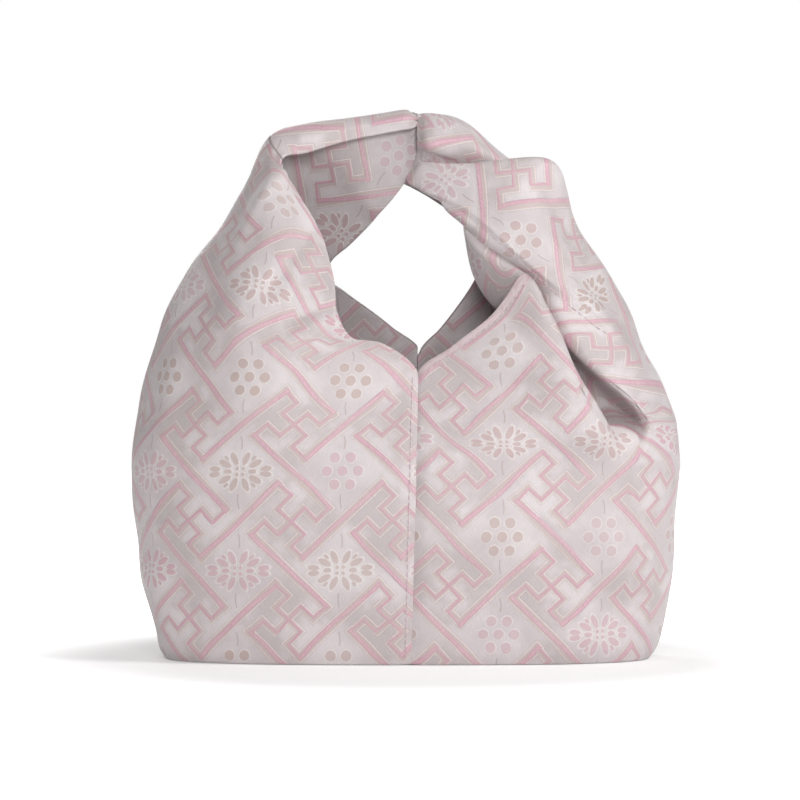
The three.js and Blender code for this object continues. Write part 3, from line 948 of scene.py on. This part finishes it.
def along_row(face, normals, places):
    """Stitch spots evenly along a chain of (row, column) places, columns may be fractions."""
    line = []
    out = []
    for k, c in places:
        low = int(math.floor(c))
        high = min(low + 1, face.shape[1] - 1)
        part = c - low
        line.append(face[k, low] * (1 - part) + face[k, high] * part)
        out.append(normals[k, low] * (1 - part) + normals[k, high] * part)
    line, out = np.array(line), np.array(out)
    length = np.concatenate([[0], np.cumsum(np.linalg.norm(np.diff(line, axis=0), axis=1))])
    spots = []
    for s in np.arange(STITCH_PITCH, length[-1] - STITCH_PITCH / 2, STITCH_PITCH):
        centre = np.array([np.interp(s, length, line[:, i]) for i in range(3)])
        ahead = np.array([np.interp(s + 0.8, length, line[:, i]) for i in range(3)])
        normal = np.array([np.interp(s, length, out[:, i]) for i in range(3)])
        spots.append((centre, ahead - centre, normal, STITCH_LENGTH, STITCH_RADIUS))
    return spots


def inset_chain(face, first, last, distance, from_end=False):
    """Places at a fixed distance in from the edge of the cloth, row by row."""
    chain = []
    for k in range(first, last):
        row = face[k][::-1] if from_end else face[k]
        length = np.concatenate([[0], np.cumsum(np.linalg.norm(np.diff(row, axis=0), axis=1))])
        c = float(np.interp(distance, length, np.arange(len(length))))
        chain.append((k, face.shape[1] - 1 - c if from_end else c))
    return chain


def along_line(face, normals, line, offset):
    """Stitch spots on the front of the strap, beside a line of (x, z) points."""
    line = spline(np.array(line, dtype=float), [12] * (len(line) - 1))
    step = np.gradient(line, axis=0)
    step /= np.linalg.norm(step, axis=1, keepdims=True)
    line = line + offset * np.stack([-step[:, 1], step[:, 0]], -1)
    length = np.concatenate([[0], np.cumsum(np.linalg.norm(np.diff(line, axis=0), axis=1))])
    first, last = (sum(RIGHT_FINE[:k]) for k in (VALLEY, OUTER))
    low = station_row(RIGHT_CLIMB, FIRST_STATION + 1)
    part, out = face[low:, first:last], normals[low:, first:last]
    seen = out[..., 1] < -0.05
    centres, outs = [], []
    for s in np.arange(length[-1] * 0.35, length[-1] * 0.9, STITCH_PITCH):
        x, z = np.interp(s, length, line[:, 0]), np.interp(s, length, line[:, 1])
        gap = np.hypot(part[..., 0] - x, part[..., 2] - z) + np.where(seen, 0, 1e3)
        near = np.unravel_index(np.argmin(gap), gap.shape)
        centres.append(np.array([x, part[near][1], z]))
        outs.append(out[near])
    return [(centres[i], centres[i + 1] - centres[i], outs[i], STITCH_LENGTH, STITCH_RADIUS)
            for i in range(len(centres) - 1)]


left_neck = station_row(LEFT_CLIMB, FIRST_STATION)
right_neck = station_row(RIGHT_CLIMB, FIRST_STATION + 1)
corner = station_row(RIGHT_CLIMB, FIRST_STATION + 4)
spots = along_row(left_face, left_normals, inset_chain(left_face, 2, left_neck, 3.0))
spots += along_row(left_face, left_normals, inset_chain(left_face, 2, left_neck, 3.0, True))
spots += along_row(right_face, right_normals, inset_chain(right_face, right_neck, corner, HEM_WIDTH))
spots += along_line(right_face, right_normals, STRAP_SEAM, -0.6)
stitches = stitch_mesh("stitches", spots)
stitches.data.materials.append(thread_look)
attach(stitches, "root")


# Stage, lamps and camera
def stage_material():
    """White floor: lit near the bag, so that its shadow shows, and plain white further off."""
    g = Nodes("floor")
    paths = g.tree.nodes.new("ShaderNodeLightPath")
    seen = g.high(paths.outputs["Is Camera Ray"], g.high(paths.outputs["Is Glossy Ray"],
                                                         paths.outputs["Is Transmission Ray"]))
    coords = g.tree.nodes.new("ShaderNodeTexCoord")
    split = g.tree.nodes.new("ShaderNodeSeparateXYZ")
    g.tree.links.new(coords.outputs["Object"], split.inputs[0])
    x, y = split.outputs[0], split.outputs[1]
    away = g.math("SQRT", g.add(g.mul(x, x), g.mul(y, y)))
    more = FLOOR_GLOW_FAR - FLOOR_GLOW_NEAR
    white = g.add(FLOOR_GLOW_NEAR, g.mul(g.ramp(away, FLOOR_NEAR, FLOOR_FAR), more))
    g.shader.inputs["Base Color"].default_value = (0.86, 0.86, 0.86, 1)
    g.shader.inputs["Roughness"].default_value = 0.9
    g.shader.inputs["Specular IOR Level"].default_value = 0.0
    g.shader.inputs["Emission Color"].default_value = (1, 1, 1, 1)
    g.link(g.mul(seen, white), g.shader.inputs["Emission Strength"])
    return g.material


# Distances from the middle, in metres, between which the floor turns plain white
FLOOR_NEAR = 0.14
FLOOR_FAR = 0.25
FLOOR_GLOW_NEAR = 0.24
FLOOR_GLOW_FAR = 1.0
FLOOR_SIZE = 8.0
floor_mesh = bpy.data.meshes.new("floor")
f = FLOOR_SIZE / 2
floor_mesh.from_pydata([(-f, -f, 0), (f, -f, 0), (f, f, 0), (-f, f, 0)], [], [(0, 1, 2, 3)])
floor = bpy.data.objects.new("floor", floor_mesh)
bpy.context.scene.collection.objects.link(floor)
floor.data.materials.append(stage_material())

world = bpy.data.worlds.new("studio")
bpy.context.scene.world = world
world.use_nodes = True
tree = world.node_tree
tree.nodes.clear()
paths = tree.nodes.new("ShaderNodeLightPath")
white = tree.nodes.new("ShaderNodeBackground")
white.inputs["Color"].default_value = (1, 1, 1, 1)
white.inputs["Strength"].default_value = 1.0
soft = tree.nodes.new("ShaderNodeBackground")
soft.inputs["Color"].default_value = (1.0, 0.98, 0.97, 1)
soft.inputs["Strength"].default_value = 0.32
blend = tree.nodes.new("ShaderNodeMixShader")
output = tree.nodes.new("ShaderNodeOutputWorld")
tree.links.new(paths.outputs["Is Camera Ray"], blend.inputs[0])
tree.links.new(soft.outputs[0], blend.inputs[1])
tree.links.new(white.outputs[0], blend.inputs[2])
tree.links.new(blend.outputs[0], output.inputs["Surface"])

CENTRE = Vector((0.0, 0.0, 0.14))


def lamp(name, place, size, power):
    data = bpy.data.lights.new(name, "AREA")
    data.shape = "DISK"
    data.size = size
    data.energy = power
    lamp_object = bpy.data.objects.new(name, data)
    bpy.context.scene.collection.objects.link(lamp_object)
    lamp_object.location = place
    lamp_object.rotation_euler = (CENTRE - Vector(place)).to_track_quat("-Z", "Y").to_euler()


lamp("key", (1.25, -0.65, 1.15), 0.55, 13.0)
lamp("front", (0.12, -1.55, 0.42), 0.5, 11.0)
lamp("back", (-0.4, 1.2, 0.8), 0.7, 5.0)

# Camera: level, on the middle of the frame, in front of the bag
CAMERA_AWAY = 1.5
CAMERA_X = -0.004
CAMERA_Z = 0.129
PIXEL = 0.0005025
FRAME_PIXELS = 800
camera_data = bpy.data.cameras.new("camera")
camera_data.sensor_width = 36
camera_data.lens = 36 * CAMERA_AWAY / (PIXEL * FRAME_PIXELS)
camera = bpy.data.objects.new("camera", camera_data)
bpy.context.scene.collection.objects.link(camera)
camera.location = (CAMERA_X, -CAMERA_AWAY, CAMERA_Z)
camera.rotation_euler = (math.radians(90), 0, 0)
bpy.context.scene.camera = camera
bpy.context.scene.view_settings.view_transform = "Standard"
